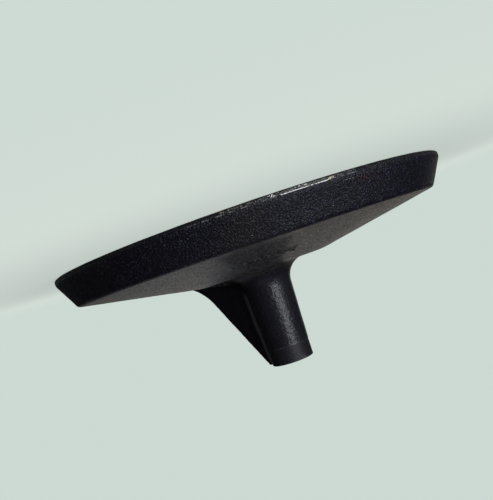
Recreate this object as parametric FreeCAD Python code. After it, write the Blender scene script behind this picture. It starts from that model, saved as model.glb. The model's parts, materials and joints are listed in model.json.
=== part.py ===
# Planter closing wheel: one grey-iron casting, painted black.
#
# The wheel lies on its wide outer face with its hub pointing up. Its axis is +Z, and its origin is the
# centre of the outer face's plane. Lengths are in millimetres and angles in degrees.
import FreeCAD, Part

import math
import os

# Rim: an upright land at the widest diameter, then the tapered tread, which presses the soil over the seed
wheel_diameter = 304.8
rim_land = 4.0
rim_edge_break = 1.0
tread_width = 23.3
tread_taper = 28.0
outer_edge_round = 3.2
inner_edge_round = 3.0

# Disc: a shallow cone that levels out into a land round the hub
cone_angle = 10.5
disc_wall = 11.0
root_land_diameter = 102.0
root_land_round = 25.0

# Outer face: a flat ring to lie on, turned true, and a dish inside it
ring_width = 14.0
dish_draft = 33.0
dish_corner_round = 9.0

# Inner boss: the hub's short end, in the dish, faced off a little below the ring
boss_diameter = 52.0
boss_recess = 3.0
boss_draft = 6.0
boss_root_round = 8.0

# Hub: the long end that stands on the disc, faced off at its top
hub_top = 115.4
hub_neck_diameter = 33.4
hub_draft = 2.2
hub_fillet = 16.0

# Band: the slightly smaller stretch at the hub's end, where its core print parted from the mould
band_height = 12.7
band_inset = 0.3

# Bore: right through hub and boss, for the axle
axle_diameter = 19.05
axle_clearance = 0.15
bore_chamfer = 1.0

# Web: one cast gusset that braces the hub against the disc, faced off level with the hub's end
web_azimuth = 35.0
web_top_reach = 5.4
web_back_lean = 29.0
web_foot_radius = 80.0
web_foot_angle = 20.0
web_back_sweep = 36.0
web_top_thickness = 8.0
web_foot_thickness = 14.0
web_edge_round = 2.5
web_root_fillet = 3.5

axis_up = FreeCAD.Vector(0, 0, 1)
origin = FreeCAD.Vector(0, 0, 0)

rim_radius = wheel_diameter / 2
small_rim_radius = rim_radius - (tread_width - rim_land) * math.tan(math.radians(tread_taper))
root_land_radius = root_land_diameter / 2
cone_slope = math.tan(math.radians(cone_angle))
floor_drop = disc_wall / math.cos(math.radians(cone_angle))
bore_radius = (axle_diameter + axle_clearance) / 2
band_bottom = hub_top - band_height
neck_radius = hub_neck_diameter / 2
band_radius = neck_radius - band_inset


def disc_height(radius):
    """Height of the disc's upper face: a cone, level inside the root land."""
    return tread_width + (small_rim_radius - max(radius, root_land_radius)) * cone_slope


land_height = disc_height(root_land_radius)


def section_point(radius, height):
    return FreeCAD.Vector(radius, 0, height)


def rounded_wire(corners):
    """Closed wire through corners (point, round): straight runs, with an arc at each rounded corner."""
    count = len(corners)
    stretches = []
    for index, (corner, round_radius) in enumerate(corners):
        if round_radius == 0:
            stretches.append((corner, None, corner))
            continue
        before = (corners[index - 1][0] - corner).normalize()
        after = (corners[(index + 1) % count][0] - corner).normalize()
        half_angle = before.getAngle(after) / 2
        run = round_radius / math.tan(half_angle)
        reach = round_radius / math.sin(half_angle) - round_radius
        middle = corner + (before + after).normalize() * reach
        stretches.append((corner + before * run, middle, corner + after * run))
    edges = []
    for index, (start, middle, finish) in enumerate(stretches):
        if middle is not None:
            edges.append(Part.Arc(start, middle, finish).toShape())
        following = stretches[(index + 1) % count][0]
        edges.append(Part.makeLine(finish, following))
    return Part.Wire(edges)


def make_wheel_body():
    """Tread, disc, dish, boss, hub and bore, revolved from one section."""
    ring_inner = rim_radius - ring_width
    # the dish's wall leans inwards until it meets the dish's floor, one wall under the disc
    dish_lean = math.tan(math.radians(dish_draft))
    floor_at_ring = disc_height(ring_inner) - floor_drop
    dish_corner_radius = ring_inner - floor_at_ring * dish_lean / (1 - dish_lean * cone_slope)
    dish_corner_height = disc_height(dish_corner_radius) - floor_drop
    floor_height = land_height - floor_drop
    boss_radius = boss_diameter / 2
    boss_root_radius = boss_radius + (floor_height - boss_recess) * math.tan(math.radians(boss_draft))
    hub_root_radius = neck_radius + (band_bottom - land_height) * math.tan(math.radians(hub_draft))
    corners = [
        (section_point(bore_radius + bore_chamfer, boss_recess), 0),
        (section_point(boss_radius, boss_recess), 0),
        (section_point(boss_root_radius, floor_height), boss_root_round),
        (section_point(root_land_radius, floor_height), 0),
        (section_point(dish_corner_radius, dish_corner_height), dish_corner_round),
        (section_point(ring_inner, 0), 0),
        (section_point(rim_radius - rim_edge_break, 0), 0),
        (section_point(rim_radius, rim_edge_break), 0),
        (section_point(rim_radius, rim_land), outer_edge_round),
        (section_point(small_rim_radius, tread_width), inner_edge_round),
        (section_point(root_land_radius, land_height), root_land_round),
        (section_point(hub_root_radius, land_height), hub_fillet),
        (section_point(neck_radius, band_bottom), 0),
        (section_point(neck_radius, hub_top), 0),
        (section_point(bore_radius + bore_chamfer, hub_top), 0),
        (section_point(bore_radius, hub_top - bore_chamfer), 0),
        (section_point(bore_radius, boss_recess + bore_chamfer), 0),
    ]
    return Part.Face(rounded_wire(corners)).revolve(origin, axis_up, 360)


def make_web():
    """Gusset: outlined in a plane through the axis, thinner towards the top, its back rounded."""
    back_lean = math.tan(math.radians(web_back_lean))
    toe_fall = math.tan(math.radians(cone_angle + web_foot_angle))
    tip = section_point(band_radius + web_top_reach, hub_top)
    toe = section_point(web_foot_radius, disc_height(web_foot_radius))
    # the bend is where the leaning back meets the toe's run along the disc
    drop = (tip.z - toe.z - (toe.x - tip.x) * toe_fall) / (1 - back_lean * toe_fall)
    bend = section_point(tip.x + drop * back_lean, tip.z - drop)

    # the blank stands above the hub's end, to be faced off, and is rooted inside the disc's wall
    facing = 2 * web_edge_round
    root_depth = disc_wall / 2
    inside_hub = (bore_radius + band_radius) / 2
    buried_toe = toe + (toe - bend).normalize() * web_edge_round
    outline = rounded_wire([
        (section_point(inside_hub, hub_top + facing), 0),
        (section_point(tip.x - facing * back_lean, hub_top + facing), 0),
        (bend, web_back_sweep),
        (buried_toe, 0),
        (section_point(buried_toe.x, toe.z - root_depth), 0),
        (section_point(root_land_radius, land_height - root_depth), 0),
        (section_point(inside_hub, land_height - root_depth), 0),
    ])
    thickness = FreeCAD.Vector(0, web_foot_thickness, 0)
    blank = Part.Face(outline).translated(thickness * -0.5).extrude(thickness)
    web = blank.common(make_web_draft(toe.z - root_depth, hub_top + facing))
    web = web.makeFillet(web_edge_round, [edge for edge in web.Edges if is_back_edge(edge)])
    facing_cut = Part.makeCylinder(web_foot_radius, facing, section_point(0, hub_top), axis_up)
    return web.cut(facing_cut).rotated(origin, axis_up, web_azimuth)


def make_web_draft(bottom, top):
    """Wedge that holds the web's two drafted sides, along +X."""
    half_foot = web_foot_thickness / 2
    half_tip = web_top_thickness / 2
    narrowing = (half_foot - half_tip) / (hub_top - bottom)
    half_top = half_foot - (top - bottom) * narrowing
    corners = [(-half_foot, bottom), (half_foot, bottom), (half_top, top), (-half_top, top)]
    points = [FreeCAD.Vector(0, across, height) for across, height in corners]
    wedge = Part.Face(Part.makePolygon(points + points[:1]))
    return wedge.extrude(FreeCAD.Vector(rim_radius, 0, 0))


def is_back_edge(edge):
    """True for the edges between the web's back and its two sides."""
    middle = edge.valueAt((edge.FirstParameter + edge.LastParameter) / 2)
    on_side = abs(middle.y) > web_top_thickness / 4
    return on_side and middle.x > neck_radius and disc_height(middle.x) < middle.z < hub_top


def lies_on(shape, edge):
    middle = Part.Vertex(edge.valueAt((edge.FirstParameter + edge.LastParameter) / 2))
    return middle.distToShape(shape.Shells[0])[0] < 1e-4


def join_web(wheel_body, web):
    """Web fused to the wheel, with a fillet wherever the two meet."""
    joined = wheel_body.fuse(web).removeSplitter()
    seam = [edge for edge in joined.Edges if lies_on(wheel_body, edge) and lies_on(web, edge)]
    return joined.makeFillet(web_root_fillet, seam)


def inset_band(casting):
    """The hub's last stretch, cut back all round but for the web and its fillets."""
    band_foot = section_point(0, band_bottom)
    sleeve_radius = 2 * neck_radius
    sleeve = Part.makeCylinder(sleeve_radius, band_height, band_foot, axis_up)
    sleeve = sleeve.cut(Part.makeCylinder(band_radius, band_height, band_foot, axis_up))
    web_room = web_foot_thickness + 2 * web_root_fillet
    room_corner = FreeCAD.Vector(0, -web_room / 2, band_bottom)
    room = Part.makeBox(sleeve_radius, web_room, band_height, room_corner, axis_up)
    return casting.cut(sleeve.cut(room.rotated(origin, axis_up, web_azimuth)))


def make_closing_wheel():
    return inset_band(join_web(make_wheel_body(), make_web()))


closing_wheel = make_closing_wheel()
os.makedirs("parts", exist_ok=True)
closing_wheel.exportStep("parts/closing_wheel.step")
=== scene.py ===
# %% [markdown]
# # A planter closing wheel in black-painted cast iron
# The real wheel is one grey-iron casting. A closing wheel rolls behind a planter on a slant and presses the
# soil shut over the seed. Its tapered tread takes the wear, a shallow cone of a disc carries it, and a long
# hub turns on the axle, braced by one web. This lesson makes it the way a foundry does: first a pattern
# turned from an outline, then a web joined to it with cast fillets, then the few machined faces, and last
# the paint, the wear and the dirt.

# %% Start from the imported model
import json
import random
from math import atan2, cos, exp, hypot, pi, radians, sin, tan

import bmesh
import bpy
from mathutils import Matrix, Vector, noise
from mathutils.bvhtree import BVHTree


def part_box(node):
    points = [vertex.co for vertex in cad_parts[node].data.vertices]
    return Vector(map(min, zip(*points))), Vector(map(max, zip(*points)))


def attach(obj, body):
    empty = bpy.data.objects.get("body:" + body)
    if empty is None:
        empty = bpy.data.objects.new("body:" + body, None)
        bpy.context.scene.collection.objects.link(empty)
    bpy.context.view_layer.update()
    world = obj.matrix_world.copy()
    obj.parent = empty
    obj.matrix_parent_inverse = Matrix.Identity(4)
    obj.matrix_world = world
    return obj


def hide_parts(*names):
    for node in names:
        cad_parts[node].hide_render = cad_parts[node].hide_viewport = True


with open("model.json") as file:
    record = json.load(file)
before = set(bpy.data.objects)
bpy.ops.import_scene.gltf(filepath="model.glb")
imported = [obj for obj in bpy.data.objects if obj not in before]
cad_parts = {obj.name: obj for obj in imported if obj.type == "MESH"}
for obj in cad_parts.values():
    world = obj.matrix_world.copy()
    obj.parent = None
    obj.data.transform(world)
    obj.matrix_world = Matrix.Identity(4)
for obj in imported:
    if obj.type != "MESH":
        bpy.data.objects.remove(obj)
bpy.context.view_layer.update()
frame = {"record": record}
wheel_low, wheel_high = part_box("closing_wheel")
print("The wheel's box in metres:", tuple(wheel_low), tuple(wheel_high))

# %% [markdown]
# ## Sizes
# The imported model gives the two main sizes, the rim's radius and the height over the hub. The rest are the
# casting's own sizes in metres. The disc is a cone, so one short function gives its height at any radius,
# and everything that stands on the disc or hangs under it asks that function.

# %% Name the sizes of the casting
rim_radius = wheel_high.x
hub_top = wheel_high.z
rim_land = 0.0040
tread_width = 0.0233
tread_taper = radians(28.0)
cone_slope = tan(radians(10.5))
disc_wall = 0.0110
root_land_radius = 0.0510
ring_width = 0.0140
dish_draft = tan(radians(33.0))
boss_radius = 0.0260
boss_recess = 0.0030
boss_draft = tan(radians(6.0))
neck_radius = 0.0167
hub_draft = tan(radians(2.2))
band_height = 0.0127
band_inset = 0.0003
bore_chamfer = 0.0010

bore = next(mount for mount in frame["record"]["mounts"] if mount["name"] == "axle_bore")
bore_radius = bore["dims"]["r_mm"] / 1000
small_rim_radius = rim_radius - (tread_width - rim_land) * tan(tread_taper)
floor_drop = disc_wall * (1 + cone_slope ** 2) ** 0.5
band_bottom = hub_top - band_height
band_radius = neck_radius - band_inset


def disc_height(radius):
    """Height of the disc's upper face: a cone, level inside the root land."""
    return tread_width + (small_rim_radius - max(radius, root_land_radius)) * cone_slope


land_height = disc_height(root_land_radius)
print("The disc's land stands", round(land_height * 1000, 1), "mm high")

# %% [markdown]
# ## Outlines with rounded corners
# A turned shape starts as a flat outline with sharp corners. Each corner then gets its own round with the
# vertex bevel. A bevel of a wire corner is measured along the edges, so a round of radius r at a corner
# that turns by an angle t needs an offset of r times tan(t / 2). A profile of 0.5 makes the bevel an arc.


# %% Draw an outline and round its corners
def draw_outline(corners, closed):
    """A bmesh with a wire through (radius, height, round) corners in the XZ plane, rounded at each one."""
    bm = bmesh.new()
    points = [bm.verts.new((radius, 0, height)) for radius, height, _ in corners]
    for start, end in zip(points, points[1:]):
        bm.edges.new((start, end))
    if closed:
        bm.edges.new((points[-1], points[0]))
    offsets = []
    for index, (_, _, round_radius) in enumerate(corners):
        before = (points[index].co - points[index - 1].co).normalized()
        after = (points[(index + 1) % len(points)].co - points[index].co).normalized()
        offsets.append(round_radius * tan(before.angle(after) / 2) if round_radius else 0)
    for point, offset in zip(points, offsets):
        if offset:
            bmesh.ops.bevel(bm, geom=[point], offset=offset, offset_type="OFFSET", segments=10, profile=0.5,
                            affect="VERTICES", clamp_overlap=False, material=-1)
    return bm


def turn_on_lathe(bm, steps):
    """Spins an open wire whose ends lie on the axis into a closed, outward-facing solid."""
    bmesh.ops.spin(bm, geom=bm.verts[:] + bm.edges[:], cent=(0, 0, 0), axis=(0, 0, 1), dvec=(0, 0, 0),
                   angle=2 * pi, steps=steps, use_merge=True, use_duplicate=False)
    bmesh.ops.remove_doubles(bm, verts=bm.verts[:], dist=1e-6)
    bmesh.ops.recalc_face_normals(bm, faces=bm.faces[:])
    return bm


# %% [markdown]
# ## The wheel's pattern
# Rim, tread, disc, dish, boss and hub are all turned about one axis, so a single outline makes them all.
# The pattern has no bore, and its boss and hub end are a little too long: that extra iron is the allowance
# that the machinist faces off later. A corner with a round of 0 is left sharp.

# %% Turn the wheel's pattern
machining_allowance = 0.0025
ring_inner = rim_radius - ring_width
floor_height = land_height - floor_drop
floor_at_ring = disc_height(ring_inner) - floor_drop
dish_corner_radius = ring_inner - floor_at_ring * dish_draft / (1 - dish_draft * cone_slope)
dish_corner_height = disc_height(dish_corner_radius) - floor_drop
boss_root_radius = boss_radius + (floor_height - boss_recess) * boss_draft
hub_root_radius = neck_radius + (band_bottom - land_height) * hub_draft
boss_end = boss_recess - machining_allowance
hub_end = hub_top + 2 * machining_allowance

wheel_corners = [
    (0, boss_end, 0),
    (boss_radius, boss_end, 0.0010),
    (boss_root_radius, floor_height, 0.0080),
    (root_land_radius, floor_height, 0.0250),
    (dish_corner_radius, dish_corner_height, 0.0090),
    (ring_inner, 0, 0.0016),
    (rim_radius, 0, 0.0019),
    (rim_radius, rim_land, 0.0032),
    (small_rim_radius, tread_width, 0.0030),
    (root_land_radius, land_height, 0.0250),
    (hub_root_radius, land_height, 0.0160),
    (neck_radius, band_bottom, 0),
    (neck_radius, hub_end, 0),
    (0, hub_end, 0),
]
wheel_pattern = turn_on_lathe(draw_outline(wheel_corners, closed=False), steps=480)
print("The wheel's pattern has", len(wheel_pattern.faces), "faces")

# %% [markdown]
# ## The web
# The web is a gusset between hub and disc. Its outline is drawn flat, given its thickness, and then thinned
# towards the top, because a casting needs draft to leave the sand. Its back is rounded with an edge bevel.
# The bend in the back is one large round, so the outline stays a handful of corners.

# %% Model the web
web_azimuth = radians(35.0)
web_top_reach = 0.0054
web_back_lean = tan(radians(29.0))
web_toe_fall = tan(radians(30.5))
web_foot_radius = 0.0800
web_back_sweep = 0.0360
web_foot_half = 0.0070
web_top_half = 0.0040
web_edge_round = 0.0025

web_facing = 2 * web_edge_round
web_root = disc_wall / 2
web_heart = (bore_radius + band_radius) / 2
web_tip_radius = band_radius + web_top_reach
toe_height = disc_height(web_foot_radius)
web_thinning = (web_foot_half - web_top_half) / (hub_top - (toe_height - web_root))
bend_drop = (hub_top - toe_height - (web_foot_radius - web_tip_radius) * web_toe_fall)
bend_drop /= 1 - web_back_lean * web_toe_fall
web_bend = (web_tip_radius + bend_drop * web_back_lean, hub_top - bend_drop)
toe_run = Vector((1, -web_toe_fall)).normalized() * web_edge_round
buried_toe = (web_foot_radius + toe_run.x, toe_height + toe_run.y)


def web_half_thickness(height):
    """Half the web's thickness at a height: drafted from its foot to its top."""
    return web_top_half + (hub_top - height) * web_thinning


def is_back_edge(edge):
    """True for the edges between the web's back and its two sides."""
    start, end = (vert.co for vert in edge.verts)
    middle = (start + end) / 2
    along_side = start.y * end.y > 0
    return along_side and middle.x > neck_radius and middle.z > disc_height(middle.x) - web_edge_round


def make_web():
    bm = draw_outline([
        (web_heart, hub_top + web_facing, 0),
        (web_tip_radius - web_facing * web_back_lean, hub_top + web_facing, 0),
        (*web_bend, web_back_sweep),
        (*buried_toe, 0),
        (buried_toe[0], toe_height - web_root, 0),
        (root_land_radius, land_height - web_root, 0),
        (web_heart, land_height - web_root, 0),
    ], closed=True)
    bmesh.ops.translate(bm, verts=bm.verts[:], vec=(0, -0.5, 0))
    side = bmesh.ops.contextual_create(bm, geom=bm.edges[:])["faces"]
    far_side = bmesh.ops.extrude_face_region(bm, geom=side)["geom"]
    bmesh.ops.translate(bm, verts=[item for item in far_side if isinstance(item, bmesh.types.BMVert)],
                        vec=(0, 1, 0))
    for vert in bm.verts:
        vert.co.y *= 2 * web_half_thickness(vert.co.z)
    bmesh.ops.bevel(bm, geom=[edge for edge in bm.edges if is_back_edge(edge)], offset=web_edge_round,
                    offset_type="OFFSET", segments=5, profile=0.5, affect="EDGES", material=-1)
    bmesh.ops.rotate(bm, verts=bm.verts[:], matrix=Matrix.Rotation(web_azimuth, 3, "Z"))
    bmesh.ops.recalc_face_normals(bm, faces=bm.faces[:])
    return bm


web_pattern = make_web()
print("The web has", len(web_pattern.faces), "faces")

# %% [markdown]
# ## One casting from two patterns
# In the mould, iron fills wheel and web as one body, and every inside corner comes out as a fillet. A voxel
# remesh gives the same result: it wraps both shells in one even skin. The seam between hub, disc and web is
# then smoothed until it is a fillet, while every other point is set back onto the pattern that it came
# from. So the rounds and cones stay true, and only the seam is soft. A fillet only ever adds iron, so a point
# that the smoothing has pulled below both patterns is set back too, which keeps the web's back edges full.


# %% Join the patterns in an even skin
def mesh_object(name, *shells):
    """An object at the origin that holds the given bmeshes."""
    joined = bmesh.new()
    for shell in shells:
        part = bpy.data.meshes.new(name)
        shell.to_mesh(part)
        joined.from_mesh(part)
        bpy.data.meshes.remove(part)
    mesh = bpy.data.meshes.new(name)
    joined.to_mesh(mesh)
    joined.free()
    made = bpy.data.objects.new(name, mesh)
    bpy.context.scene.collection.objects.link(made)
    return made


def apply_modifiers(made):
    """Puts the modifiers' result into the object's mesh, and returns it as a bmesh."""
    bpy.context.view_layer.update()
    evaluated = made.evaluated_get(bpy.context.evaluated_depsgraph_get())
    result = bpy.data.meshes.new_from_object(evaluated)
    made.modifiers.clear()
    made.data = result
    bm = bmesh.new()
    bm.from_mesh(result)
    return bm


skin_size = 0.0017
casting = mesh_object("closing_wheel_casting", wheel_pattern, web_pattern)
skin = casting.modifiers.new("Even skin", "REMESH")
skin.mode = "VOXEL"
skin.voxel_size = skin_size
skin_mesh = apply_modifiers(casting)
print("The even skin has", len(skin_mesh.faces), "faces")

# %% Round the seam into a fillet and keep the rest true
seam_reach = 0.0065
seam_passes = 22
wheel_surface = BVHTree.FromBMesh(wheel_pattern)
web_surface = BVHTree.FromBMesh(web_pattern)


def seam_distance(point):
    """How far a point is from the seam: its distance to the farther one of the two patterns."""
    to_wheel = wheel_surface.find_nearest(point)[3]
    to_web = web_surface.find_nearest(point, 4 * seam_reach)[3]
    return 1.0 if to_web is None else max(to_wheel, to_web)


def round_the_seam(bm):
    near_seam = {vert: seam_distance(vert.co) for vert in bm.verts}
    seam = [vert for vert, distance in near_seam.items() if distance < seam_reach]
    for _ in range(seam_passes):
        bmesh.ops.smooth_vert(bm, verts=seam, factor=0.5, use_axis_x=True, use_axis_y=True, use_axis_z=True)
    for vert, distance in near_seam.items():
        on_wheel = wheel_surface.find_nearest(vert.co)
        on_web = web_surface.find_nearest(vert.co, 2 * skin_size)
        nearest = on_web if on_web[0] and on_web[3] < on_wheel[3] else on_wheel
        hold = min(max((distance - seam_reach * 0.55) / (seam_reach * 0.45), 0), 1)
        sunk = (vert.co - nearest[0]).dot(nearest[1]) < 0
        vert.co = vert.co.lerp(nearest[0], 1.0 if sunk else hold)
    return len(seam)


print("Seam points:", round_the_seam(skin_mesh))

# %% [markdown]
# ## As cast
# Sand moulds aren't perfect. The surfaces wander by a tenth of a millimetre or two, and on the disc near
# the hub a few drops of loose sand left low, rough lumps. Vertex moves along the normals with a smooth
# noise give the wander. The lumps need a finer mesh, so their strip is subdivided first.

# %% Let the surfaces wander a little
wander_height = 0.00011
wander_length = 0.019
fine_wander_height = 0.00005
fine_wander_length = 0.006


def add_wander(bm):
    bm.normal_update()
    moves = []
    for vert in bm.verts:
        slow = noise.noise(vert.co / wander_length)
        fine = noise.noise(vert.co / fine_wander_length)
        moves.append(vert.normal * (slow * wander_height + fine * fine_wander_height))
    for vert, move in zip(bm.verts, moves):
        vert.co += move
        vert.co.z = max(vert.co.z, 0)


add_wander(skin_mesh)

# %% Add the rough lumps on the disc
lump_radius = 0.0900
lump_spread = 0.0045
lump_angle = radians(-4.0)
lump_angle_spread = radians(6.5)
lump_count = 42
lump_random = random.Random(11)


def front_angle(point):
    """Angle round the axis from the camera's side, positive towards +X."""
    return atan2(point.x, -point.y)


def in_lump_strip(point):
    radius = hypot(point.x, point.y)
    near = abs(radius - lump_radius) < 3 * lump_spread
    beside = abs(front_angle(point) - lump_angle) < 3 * lump_angle_spread
    return near and beside and point.z > tread_width


def make_lumps():
    """Places and sizes of the lumps: (centre, height, width), drawn from a fixed seed."""
    lumps = []
    for _ in range(lump_count):
        angle = lump_random.gauss(lump_angle, lump_angle_spread)
        radius = lump_random.gauss(lump_radius, lump_spread)
        centre = Vector((radius * sin(angle), -radius * cos(angle), disc_height(radius)))
        lumps.append((centre, lump_random.uniform(0.0004, 0.0011), lump_random.uniform(0.0009, 0.0024)))
    return lumps


def raise_lumps(bm, lumps):
    strip = [edge for edge in bm.edges if all(in_lump_strip(vert.co) for vert in edge.verts)]
    bmesh.ops.subdivide_edges(bm, edges=strip, cuts=2, use_grid_fill=True)
    for vert in bm.verts:
        if in_lump_strip(vert.co):
            rise = sum(height * exp(-((vert.co - centre).length / width) ** 2)
                       for centre, height, width in lumps)
            vert.co.z += min(rise, 0.0012)


raise_lumps(skin_mesh, make_lumps())
print("With lumps, the skin has", len(skin_mesh.faces), "faces")

# %% [markdown]
# ## The band at the hub's end
# Where the core print parted from the mould, the hub's last stretch is a hair smaller. Two cuts with
# bisect_plane put a clean edge loop on each side of the step, and the points above it move inwards. The web
# and its fillets pass the band without a step.

# %% Step the band in
step_height = 0.0003
fillet_room = 0.0050


def on_hub_side(point):
    """True on the hub's round side, away from the web and its fillets."""
    along = point.x * cos(web_azimuth) + point.y * sin(web_azimuth)
    across = point.y * cos(web_azimuth) - point.x * sin(web_azimuth)
    beside_web = along > 0 and abs(across) < web_top_half + fillet_room
    return hypot(point.x, point.y) > 0.8 * neck_radius and not beside_web


def step_band(bm):
    for level in (band_bottom, band_bottom + step_height):
        bmesh.ops.bisect_plane(bm, geom=bm.verts[:] + bm.edges[:] + bm.faces[:], plane_co=(0, 0, level),
                               plane_no=(0, 0, 1))
    for vert in bm.verts:
        if vert.co.z > band_bottom + step_height / 2 and on_hub_side(vert.co):
            radius = hypot(vert.co.x, vert.co.y)
            vert.co.xy *= (radius - band_inset) / radius


step_band(skin_mesh)
skin_mesh.to_mesh(casting.data)
skin_mesh.free()

# %% [markdown]
# ## Machining
# The bore, its two chamfers and the two faces that bear on washers are cut after casting. One turned cutter
# holds all of them, as a setup in a lathe would, and a boolean takes its shape out of the casting.

# %% Face the ends and bore the hub
cutter_overrun = 0.0200
boss_facing_radius = boss_radius + 0.0050
hub_facing_radius = 0.0450
cutter_corners = [
    (0, boss_recess - cutter_overrun, 0),
    (boss_facing_radius, boss_recess - cutter_overrun, 0),
    (boss_facing_radius, boss_recess, 0),
    (bore_radius + bore_chamfer, boss_recess, 0),
    (bore_radius, boss_recess + bore_chamfer, 0),
    (bore_radius, hub_top - bore_chamfer, 0),
    (bore_radius + bore_chamfer, hub_top, 0),
    (hub_facing_radius, hub_top, 0),
    (hub_facing_radius, hub_top + cutter_overrun, 0),
    (0, hub_top + cutter_overrun, 0),
]
cutter = mesh_object("cutter", turn_on_lathe(draw_outline(cutter_corners, closed=False), steps=128))
machining = casting.modifiers.new("Machining", "BOOLEAN")
machining.operation = "DIFFERENCE"
machining.solver = "EXACT"
machining.object = cutter
machined_mesh = apply_modifiers(casting)
bpy.data.objects.remove(cutter)
print("The machined casting has", len(machined_mesh.faces), "faces")


# %% Shade the casting smooth, with sharp machined edges
def is_machined(face):
    """True for the faces of the bore and its chamfers, which stay bare iron."""
    return hypot(*face.calc_center_median().xy) < bore_radius + bore_chamfer


sharp_angle = radians(38)
for face in machined_mesh.faces:
    face.smooth = True
    face.material_index = 1 if is_machined(face) else 0
for edge in machined_mesh.edges:
    edge.smooth = len(edge.link_faces) != 2 or edge.calc_face_angle() < sharp_angle
machined_mesh.to_mesh(casting.data)
print("Triangles:", sum(len(face.verts) - 2 for face in machined_mesh.faces))
machined_mesh.free()

# %% [markdown]
# ## Building materials from nodes
# A few short helpers keep the materials readable. Each one adds a node and returns what the next node
# needs. All patterns read Object coordinates, so they stay put on the casting.


# %% Define the node helpers
def put(tree, kind, inputs=(), **settings):
    """Adds a node, sets its settings, and fills or links its inputs."""
    made = tree.nodes.new(kind)
    for name, value in settings.items():
        setattr(made, name, value)
    for socket, value in dict(inputs).items():
        if isinstance(value, bpy.types.NodeSocket):
            tree.links.new(value, made.inputs[socket])
        else:
            made.inputs[socket].default_value = value
    return made


def sum_up(tree, operation, *values):
    """A Math node's result."""
    return put(tree, "ShaderNodeMath", enumerate(values), operation=operation).outputs[0]


def fade(tree, value, low, high, start=0.0, end=1.0):
    """A smooth step from start, where the value is low, to end, where it is high."""
    inputs = {"Value": value, "From Min": low, "From Max": high, "To Min": start, "To Max": end}
    return put(tree, "ShaderNodeMapRange", inputs, interpolation_type="SMOOTHSTEP").outputs["Result"]


def blend_colours(tree, factor, below, above):
    """A mix of two colours: below where the factor is 0, above where it is 1."""
    made = put(tree, "ShaderNodeMix", data_type="RGBA")
    for socket, value in zip((made.inputs[0], made.inputs[6], made.inputs[7]), (factor, below, above)):
        if isinstance(value, bpy.types.NodeSocket):
            tree.links.new(value, socket)
        else:
            socket.default_value = value
    return made.outputs[2]


def noise_at(tree, vector, scale, detail=2.0, roughness=0.5, distortion=0.0):
    """A noise between 0 and 1. The scale is in features per metre."""
    inputs = {"Vector": vector, "Scale": scale, "Detail": detail, "Roughness": roughness,
              "Distortion": distortion}
    return put(tree, "ShaderNodeTexNoise", inputs).outputs["Fac"]


def new_group(name, inputs, outputs):
    """A node group with named sockets, its input node and its output node."""
    tree = bpy.data.node_groups.new(name, "ShaderNodeTree")
    for socket, kind, value in inputs:
        made = tree.interface.new_socket(socket, in_out="INPUT", socket_type="NodeSocket" + kind)
        if value is not None:
            made.default_value = value
    for socket in outputs:
        tree.interface.new_socket(socket, in_out="OUTPUT", socket_type="NodeSocketFloat")
    return tree, tree.nodes.new("NodeGroupInput").outputs, tree.nodes.new("NodeGroupOutput")


def use_group(tree, group, **inputs):
    """Places a node group in a material and returns its outputs."""
    made = put(tree, "ShaderNodeGroup", node_tree=group)
    for name, value in inputs.items():
        socket = made.inputs[name.replace("_", " ").capitalize()]
        if isinstance(value, bpy.types.NodeSocket):
            tree.links.new(value, socket)
        else:
            socket.default_value = value
    return made.outputs


# %% [markdown]
# ## Where on the wheel
# Wear and dirt depend on the place: how far from the axis, how high, and how far round. This group turns
# Object coordinates into those three numbers, in millimetres and degrees, so that a finish can be written
# in the sizes that one would read off a ruler. The angle is 0 at the wheel's front and grows towards +X.


# %% Make the group that measures the place
def make_place_group():
    tree, given, result = new_group("Place on the wheel", [("Vector", "Vector", None)],
                                    ["Radius", "Height", "Angle"])
    split = put(tree, "ShaderNodeSeparateXYZ", {"Vector": given["Vector"]}).outputs
    squares = sum_up(tree, "ADD", sum_up(tree, "POWER", sum_up(tree, "ABSOLUTE", split["X"]), 2),
                     sum_up(tree, "POWER", sum_up(tree, "ABSOLUTE", split["Y"]), 2))
    radius = sum_up(tree, "MULTIPLY", sum_up(tree, "SQRT", squares), 1000)
    height = sum_up(tree, "MULTIPLY", split["Z"], 1000)
    turn = sum_up(tree, "ARCTAN2", split["X"], sum_up(tree, "MULTIPLY", split["Y"], -1))
    tree.links.new(radius, result.inputs["Radius"])
    tree.links.new(height, result.inputs["Height"])
    tree.links.new(sum_up(tree, "MULTIPLY", turn, 180 / pi), result.inputs["Angle"])
    return tree


place_group = make_place_group()

# %% [markdown]
# ## Cast grain
# Paint over a sand casting keeps the sand's grain: packed pips of about a millimetre. Seen close up, most of
# them stay dark and a few catch the lamp. The group puts out the grain's height, for the bump, and its
# proudest pips as a mask, because paint is thinnest there.


# %% Make the cast grain group
def make_grain_group():
    tree, given, result = new_group("Cast grain", [("Vector", "Vector", None), ("Grain size", "Float", 0.001)],
                                    ["Height", "Pips"])
    scale = sum_up(tree, "DIVIDE", 1.0, given["Grain size"])
    grain = noise_at(tree, given["Vector"], scale, detail=2.0, roughness=0.6)
    tree.links.new(sum_up(tree, "SUBTRACT", grain, 0.5), result.inputs["Height"])
    tree.links.new(fade(tree, grain, 0.58, 0.65), result.inputs["Pips"])
    return tree


grain_group = make_grain_group()

# %% [markdown]
# ## Broken patches
# Paint rubs off in streaks and spots, and soil and rust sit in spots too, never as an even stripe. The group
# takes a mask of where something happens and lets a noise break it up. The cover says how closed the
# patches are: at 0.4 there are a few spots, at 0.5 they fill half of the mask, and at 0.7 nearly all of it.


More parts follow.
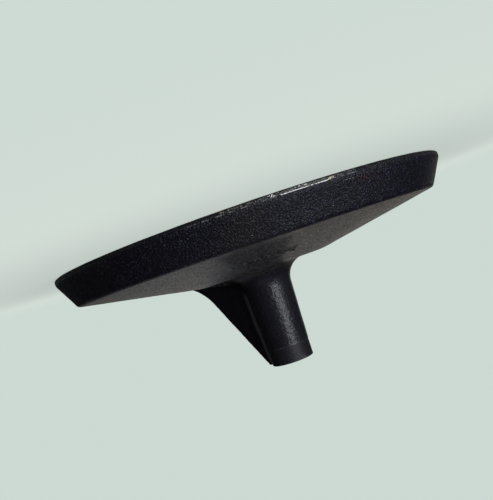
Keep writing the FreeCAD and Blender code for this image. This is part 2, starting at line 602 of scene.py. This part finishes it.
# %% Make the broken patches group
def make_patches_group():
    tree, given, result = new_group("Broken patches", [("Vector", "Vector", None), ("Mask", "Float", 1.0),
                                                       ("Cover", "Float", 0.5), ("Spot size", "Float", 0.002)],
                                    ["Patches"])
    scale = sum_up(tree, "DIVIDE", 1.0, given["Spot size"])
    spots = noise_at(tree, given["Vector"], scale, detail=3.0, roughness=0.6)
    level = sum_up(tree, "MULTIPLY_ADD", given["Mask"], given["Cover"], spots)
    tree.links.new(fade(tree, level, 0.97, 1.06), result.inputs["Patches"])
    return tree


patches_group = make_patches_group()

# %% [markdown]
# ## Black paint on cast iron
# The paint is nearly black with a little blue in it. It is thin and only half glossy, so its index of
# refraction is low: seen face on it stays dark, and seen along the surface, as on the disc, it mirrors the
# pale room. The tread's grain is coarse, and the hub has only a soft orange peel.

# %% Name the colours
paint_black = (0.0021, 0.0019, 0.0034, 1)
paint_thin = (0.0150, 0.0156, 0.0280, 1)
hub_paint_and_painted_light = (0.0052, 0.0048, 0.0068, 1)
dust_and_sheen_on_disc = (0.0380, 0.0364, 0.0344, 1)
paint_warm = (0.0050, 0.0036, 0.0034, 1)
worn_land = (0.0060, 0.0060, 0.0068, 1)
# A painted highlight, laid on the fillet between hub and web and on the band's lower edge.
painted_edge_highlight = (0.0540, 0.0480, 0.0500, 1)
rubbed_iron = (0.0650, 0.0640, 0.0620, 1)
bright_scuff_and_glint = (0.5400, 0.5300, 0.5100, 1)
dry_soil = (0.3800, 0.3500, 0.2500, 1)
green_dirt = (0.1000, 0.0980, 0.0650, 1)
dark_rust = (0.0200, 0.0100, 0.0080, 1)

# %% [markdown]
# ## Marks along the rim
# The rim is where the wheel was set down and rolled, and its marks lie one after another along the widest
# edge. Each mark below is a stretch of angle, a range of height in millimetres, the size of its spots in
# metres, how closed they are, and a colour. A loop in the paint lays them over each other in this order.
# The last three are not marks but painted glints: tiny bright specks on the tread where light would sparkle.

# %% List the marks on the rim
mark_fade_degrees = 1.0
mark_fade_mm = 0.30
rim_marks = [
    ((-60.0, 60.0), (0.0, 2.6), 0.0016, 0.52, worn_land),
    ((-27.0, 14.0), (2.5, 2.9), 0.0030, 0.50, rubbed_iron),
    ((-27.0, -1.5), (0.4, 2.4), 0.0008, 0.47, rubbed_iron),
    ((-21.0, -9.5), (0.9, 2.4), 0.0010, 0.53, rubbed_iron),
    ((-15.0, -12.4), (0.9, 1.2), 0.0010, 0.52, bright_scuff_and_glint),
    ((-19.8, -9.0), (2.5, 2.7), 0.0012, 0.58, bright_scuff_and_glint),
    ((-8.5, -6.0), (0.8, 2.2), 0.0008, 0.44, bright_scuff_and_glint),
    ((-21.3, -20.3), (1.4, 2.3), 0.0013, 0.57, dry_soil),
    ((-26.0, -23.6), (5.4, 5.6), 0.0014, 0.52, rubbed_iron),
    ((0.0, 4.6), (0.2, 1.8), 0.0009, 0.48, green_dirt),
    ((-34.0, -26.5), (5.5, 9.0), 0.0012, 0.42, dark_rust),
    # These three are painted glints: bright specks on the tread that stand in for sparkles of light.
    ((-0.5, 0.3), (18.0, 18.8), 0.0004, 0.36, bright_scuff_and_glint),
    ((-21.0, -20.0), (14.6, 17.5), 0.0004, 0.33, bright_scuff_and_glint),
    ((-13.5, -12.5), (15.0, 21.0), 0.0004, 0.32, bright_scuff_and_glint),
]


# %% Paint the casting
def between(tree, value, low, high, soft):
    """1 between low and high, fading to 0 over the soft distance beyond them."""
    outside = sum_up(tree, "MAXIMUM", sum_up(tree, "SUBTRACT", low, value), sum_up(tree, "SUBTRACT", value, high))
    return fade(tree, outside, 0.0, soft, 1.0, 0.0)


def lay_rim_marks(tree, colour, here, place):
    """The colour with the rim's marks laid over it, outside the disc and the hub."""
    on_rim = fade(tree, place["Radius"], 139.0, 141.0)
    for angles, heights, spot_size, cover, mark_colour in rim_marks:
        along = between(tree, place["Angle"], *angles, mark_fade_degrees)
        across = between(tree, place["Height"], *heights, mark_fade_mm)
        mask = sum_up(tree, "MULTIPLY", sum_up(tree, "MULTIPLY", along, across), on_rim)
        mark = use_group(tree, patches_group, vector=here, mask=mask, cover=cover, spot_size=spot_size)
        colour = blend_colours(tree, mark["Patches"], colour, mark_colour)
    return colour


# This mask places a painted highlight in the fillet between hub and web.
def in_cast_corner(tree, here, place):
    """1 in the fillet between hub and web, where it stands clear of the hub's side and of the web's side."""
    turned = put(tree, "ShaderNodeVectorRotate", {"Vector": here, "Angle": -web_azimuth}, rotation_type="Z_AXIS")
    split = put(tree, "ShaderNodeSeparateXYZ", {"Vector": turned.outputs["Vector"]}).outputs
    across = sum_up(tree, "MULTIPLY", sum_up(tree, "ABSOLUTE", split["Y"]), 1000)
    hub_side = sum_up(tree, "MULTIPLY_ADD", place["Height"], -hub_draft, (neck_radius + band_bottom * hub_draft) * 1000)
    web_side = sum_up(tree, "MULTIPLY_ADD", place["Height"], -web_thinning, (web_top_half + hub_top * web_thinning) * 1000)
    off_hub = fade(tree, sum_up(tree, "SUBTRACT", place["Radius"], hub_side), 0.05, 0.45)
    off_web = between(tree, sum_up(tree, "SUBTRACT", across, web_side), 0.4, 4.0, 0.4)
    above = sum_up(tree, "MULTIPLY", fade(tree, place["Height"], 52, 60), fade(tree, place["Radius"], 26, 30, 1.0, 0.0))
    return sum_up(tree, "MULTIPLY", sum_up(tree, "MULTIPLY", off_hub, off_web), above)


def make_paint():
    material = bpy.data.materials.new("black_paint_on_cast_iron")
    material.use_nodes = True
    tree = material.node_tree
    shader = tree.nodes["Principled BSDF"]
    here = tree.nodes.new("ShaderNodeTexCoord").outputs["Object"]
    place = use_group(tree, place_group, vector=here)
    radius, height = place["Radius"], place["Height"]
    on_hub = sum_up(tree, "MULTIPLY", fade(tree, height, 43, 50), fade(tree, radius, 26, 36, 1.0, 0.0))
    on_band = sum_up(tree, "MULTIPLY", fade(tree, height, 102.6, 102.9), on_hub)
    on_tread = sum_up(tree, "MULTIPLY", fade(tree, radius, 139.6, 141.4), fade(tree, height, 23.2, 23.9, 1.0, 0.0))

    grain = use_group(tree, grain_group, vector=here, grain_size=0.0012)
    peel = sum_up(tree, "SUBTRACT", noise_at(tree, here, 380.0, detail=1.0), 0.5)
    above_disc = sum_up(tree, "MULTIPLY_ADD", radius, cone_slope, height)
    cone_top = (tread_width + small_rim_radius * cone_slope) * 1000
    on_disc = sum_up(tree, "MULTIPLY", fade(tree, above_disc, cone_top + 0.3, cone_top + 1.6, 1.0, 0.0),
                     sum_up(tree, "MULTIPLY", fade(tree, radius, 138.0, 140.5, 1.0, 0.0), fade(tree, radius, 19, 36)))
    # A rough cast patch in front of the hub: rougher and grainier, and with less dust on it, so it is painted darker as
    # painted shade.
    rough_patch_with_painted_shade = sum_up(tree, "MULTIPLY", on_disc, sum_up(tree, "MULTIPLY", between(tree, place["Angle"], -8, 7, 5),
                                                           between(tree, radius, 76, 124, 14)))
    thin = sum_up(tree, "MULTIPLY", grain["Pips"], fade(tree, on_tread, 0.0, 1.0, 0.15, 1.0))
    # The disc's dust is partly real dust and partly painted sheen that lightens the cone as its grazing reflection
    # would. Noise and grain break it up.
    grainy_dust_and_sheen = sum_up(tree, "MULTIPLY", grain["Height"], 2.6)
    uneven = fade(tree, noise_at(tree, here, 420.0, detail=3.0, roughness=0.65), 0.36, 0.64, -1.0, 1.0)
    disc_dust_and_painted_light = sum_up(tree, "MULTIPLY_ADD", uneven, fade(tree, rough_patch_with_painted_shade, 0.0, 1.0, 0.38, 0.80),
                  fade(tree, rough_patch_with_painted_shade, 0.0, 1.0, 0.50, 0.22))
    # The hub's paint is a little lighter: partly a greyer paint, partly painted light that brightens the whole hub as
    # more lamp light would.
    colour = blend_colours(tree, on_hub, paint_black, hub_paint_and_painted_light)
    disc_dust_and_painted_light = sum_up(tree, "ADD", disc_dust_and_painted_light, grainy_dust_and_sheen)
    colour = blend_colours(tree, sum_up(tree, "MULTIPLY", on_disc, disc_dust_and_painted_light), colour, dust_and_sheen_on_disc)
    colour = blend_colours(tree, thin, colour, paint_thin)
    warm = fade(tree, noise_at(tree, here, 22.0, detail=3.0), 0.5, 0.75, 0.0, 0.6)
    colour = blend_colours(tree, warm, colour, paint_warm)
    # Painted highlights: the fillet between hub and web and, more faintly, the band's lower edge are painted lighter
    # where they would catch the light.
    colour = blend_colours(tree, in_cast_corner(tree, here, place), colour, painted_edge_highlight)
    band_edge_highlight = sum_up(tree, "MULTIPLY", between(tree, height, 102.3, 102.8, 0.25), on_hub)
    colour = blend_colours(tree, sum_up(tree, "MULTIPLY", band_edge_highlight, 0.2), colour, painted_edge_highlight)
    tree.links.new(lay_rim_marks(tree, colour, here, place), shader.inputs["Base Color"])

    rough = fade(tree, on_hub, 0.0, 1.0, 0.47, 0.37)
    rough = sum_up(tree, "MULTIPLY_ADD", on_tread, -0.05, rough)
    rough = sum_up(tree, "ADD", rough, sum_up(tree, "MULTIPLY", on_band, 0.18))
    rough = sum_up(tree, "MULTIPLY_ADD", rough_patch_with_painted_shade, 0.12, rough)
    grainy = sum_up(tree, "MULTIPLY", on_disc, grain["Height"])
    rough = sum_up(tree, "MULTIPLY_ADD", grainy, 1.2, rough)
    tree.links.new(rough, shader.inputs["Roughness"])
    shader.inputs["IOR"].default_value = 1.22

    grain_depth = fade(tree, on_tread, 0.0, 1.0, 0.20, 0.90)
    peel_depth = sum_up(tree, "MULTIPLY", fade(tree, on_hub, 0.0, 1.0, 0.08, 0.37),
                        fade(tree, on_band, 0.0, 1.0, 1.0, 0.2))
    grain_depth = sum_up(tree, "MULTIPLY_ADD", rough_patch_with_painted_shade, 0.60, grain_depth)
    relief = sum_up(tree, "ADD", sum_up(tree, "MULTIPLY", grain["Height"], grain_depth),
                    sum_up(tree, "MULTIPLY", peel, peel_depth))
    bump = put(tree, "ShaderNodeBump", {"Height": relief, "Strength": 1.0, "Distance": 0.001})
    tree.links.new(bump.outputs["Normal"], shader.inputs["Normal"])
    return material


# %% [markdown]
# ## Bare iron in the bore
# The bore is turned and stays unpainted. Its tool marks run round the axis as fine rings, so the bump reads
# the height along the axis, with a noise to keep the rings uneven. Oil and a trace of rust dull it.

# %% Finish the bore
turned_iron = (0.2100, 0.2000, 0.1850, 1)
oily_iron = (0.0600, 0.0480, 0.0350, 1)


def make_bare_iron():
    material = bpy.data.materials.new("turned_bare_iron")
    material.use_nodes = True
    tree = material.node_tree
    shader = tree.nodes["Principled BSDF"]
    here = tree.nodes.new("ShaderNodeTexCoord").outputs["Object"]
    height = use_group(tree, place_group, vector=here)["Height"]
    stained = use_group(tree, patches_group, vector=here, cover=0.48, spot_size=0.0050)["Patches"]
    tree.links.new(blend_colours(tree, stained, turned_iron, oily_iron), shader.inputs["Base Color"])
    tree.links.new(fade(tree, stained, 0.0, 1.0, 0.32, 0.62), shader.inputs["Roughness"])
    shader.inputs["Metallic"].default_value = 0.9
    rings = sum_up(tree, "SINE", sum_up(tree, "MULTIPLY", height, 2 * pi / 0.35))
    uneven = sum_up(tree, "MULTIPLY", rings, noise_at(tree, here, 300.0))
    bump = put(tree, "ShaderNodeBump", {"Height": uneven, "Strength": 0.6, "Distance": 0.00004})
    tree.links.new(bump.outputs["Normal"], shader.inputs["Normal"])
    return material


casting.data.materials.clear()
casting.data.materials.append(make_paint())
casting.data.materials.append(make_bare_iron())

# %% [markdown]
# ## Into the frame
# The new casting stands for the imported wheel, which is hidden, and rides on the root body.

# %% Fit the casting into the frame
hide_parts("closing_wheel")
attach(casting, "root")

# %% [markdown]
# ## Floor, light and camera
# The wheel lies on a plain pale floor. The floor is lit near the wheel, where it takes the shadow, and turns
# into the plain colour of the backdrop further out, so that no horizon shows. One tall softbox stands to
# the left of the hub and makes the long highlight on it. The camera looks almost along the floor and is
# turned nearly upside down, as the photographer held it, so the hub points down in the picture.

# %% Lay the floor
backdrop = (0.610, 0.694, 0.651, 1)
near_floor = (0.660, 0.732, 0.682, 1)
floor_colour = (0.50, 0.555, 0.520, 1)


floor_gap = 0.0002


def make_floor():
    bm = bmesh.new()
    bmesh.ops.create_circle(bm, cap_ends=True, segments=96, radius=6.0)
    bmesh.ops.translate(bm, verts=bm.verts[:], vec=(0, 0, -floor_gap))
    floor = mesh_object("floor", bm)
    material = bpy.data.materials.new("pale_floor")
    material.use_nodes = True
    tree = material.node_tree
    tree.nodes.remove(tree.nodes["Principled BSDF"])
    here = tree.nodes.new("ShaderNodeTexCoord").outputs["Object"]
    radius = use_group(tree, place_group, vector=here)["Radius"]
    lit = put(tree, "ShaderNodeBsdfDiffuse", {"Color": floor_colour}).outputs[0]
    shade = blend_colours(tree, fade(tree, radius, 180, 520), near_floor, backdrop)
    plain = put(tree, "ShaderNodeEmission", {"Color": shade}).outputs[0]
    rays = tree.nodes.new("ShaderNodeLightPath").outputs
    far = sum_up(tree, "MULTIPLY", fade(tree, radius, 150, 320, 0.70, 1.0), rays["Is Camera Ray"])
    mixed = put(tree, "ShaderNodeMixShader", {0: far, 1: lit, 2: plain}).outputs[0]
    tree.links.new(mixed, tree.nodes["Material Output"].inputs["Surface"])
    floor.data.materials.append(material)


make_floor()

# %% Set the world and the lamps
world_light = 0.16
mirrored_backdrop = (0.90, 0.86, 0.76, 1)
mirrored_room = (0.022, 0.022, 0.026, 1)
backdrop_way = (-0.11, 0.9939, 0.0)


def make_world():
    world = bpy.data.worlds.new("studio")
    world.use_nodes = True
    tree = world.node_tree
    rays = tree.nodes.new("ShaderNodeLightPath").outputs
    direction = tree.nodes.new("ShaderNodeTexCoord").outputs["Generated"]
    behind = put(tree, "ShaderNodeVectorMath", {0: direction, 1: backdrop_way},
                 operation="DOT_PRODUCT").outputs["Value"]
    mirrored = blend_colours(tree, fade(tree, behind, 0.845, 0.98), mirrored_room, mirrored_backdrop)
    seen = sum_up(tree, "MAXIMUM", rays["Is Camera Ray"], rays["Is Transmission Ray"])
    light = blend_colours(tree, rays["Is Glossy Ray"], (world_light, world_light, world_light, 1), mirrored)
    background = tree.nodes["Background"]
    tree.links.new(blend_colours(tree, seen, light, backdrop), background.inputs["Color"])
    bpy.context.scene.world = world


cool_white = (0.92, 0.95, 1.0)


def add_softbox(name, place, target, width, length, watts):
    lamp = bpy.data.lights.new(name, "AREA")
    lamp.shape = "RECTANGLE"
    lamp.size = width
    lamp.size_y = length
    lamp.energy = watts
    lamp.color = cool_white
    made = bpy.data.objects.new(name, lamp)
    made.location = place
    made.rotation_euler = (Vector(target) - Vector(place)).to_track_quat("-Z", "Y").to_euler()
    bpy.context.scene.collection.objects.link(made)


make_world()
add_softbox("main_softbox", (-0.63, -0.98, 0.17), (0, 0, 0.07), 0.45, 0.24, 21.5)
add_softbox("front_fill", (0.22, -0.72, 0.95), (0, 0, 0.03), 0.60, 0.60, 1.2)
add_softbox("far_fill", (0.30, 1.00, 1.00), (0, 0, 0.03), 0.90, 0.90, 2.0)

# %% Set up the camera
camera_place = Vector((0, -0.51916, 0.03305))
camera_yaw, camera_pitch, camera_roll = radians(0.784), radians(-1.159), radians(161.163)


def add_camera():
    camera = bpy.data.cameras.new("camera")
    camera.lens = 47.49
    camera.sensor_width = 36.0
    camera.clip_start = 0.01
    made = bpy.data.objects.new("camera", camera)
    forward = Vector((sin(camera_yaw) * cos(camera_pitch), cos(camera_yaw) * cos(camera_pitch),
                      sin(camera_pitch)))
    level_right = forward.cross(Vector((0, 0, 1))).normalized()
    level_up = level_right.cross(forward)
    right = level_right * cos(camera_roll) + level_up * sin(camera_roll)
    up = level_up * cos(camera_roll) - level_right * sin(camera_roll)
    made.matrix_world = Matrix.Translation(camera_place) @ Matrix((right, up, -forward)).transposed().to_4x4()
    bpy.context.scene.collection.objects.link(made)
    bpy.context.scene.camera = made


add_camera()
bpy.context.scene.view_settings.view_transform = "Standard"
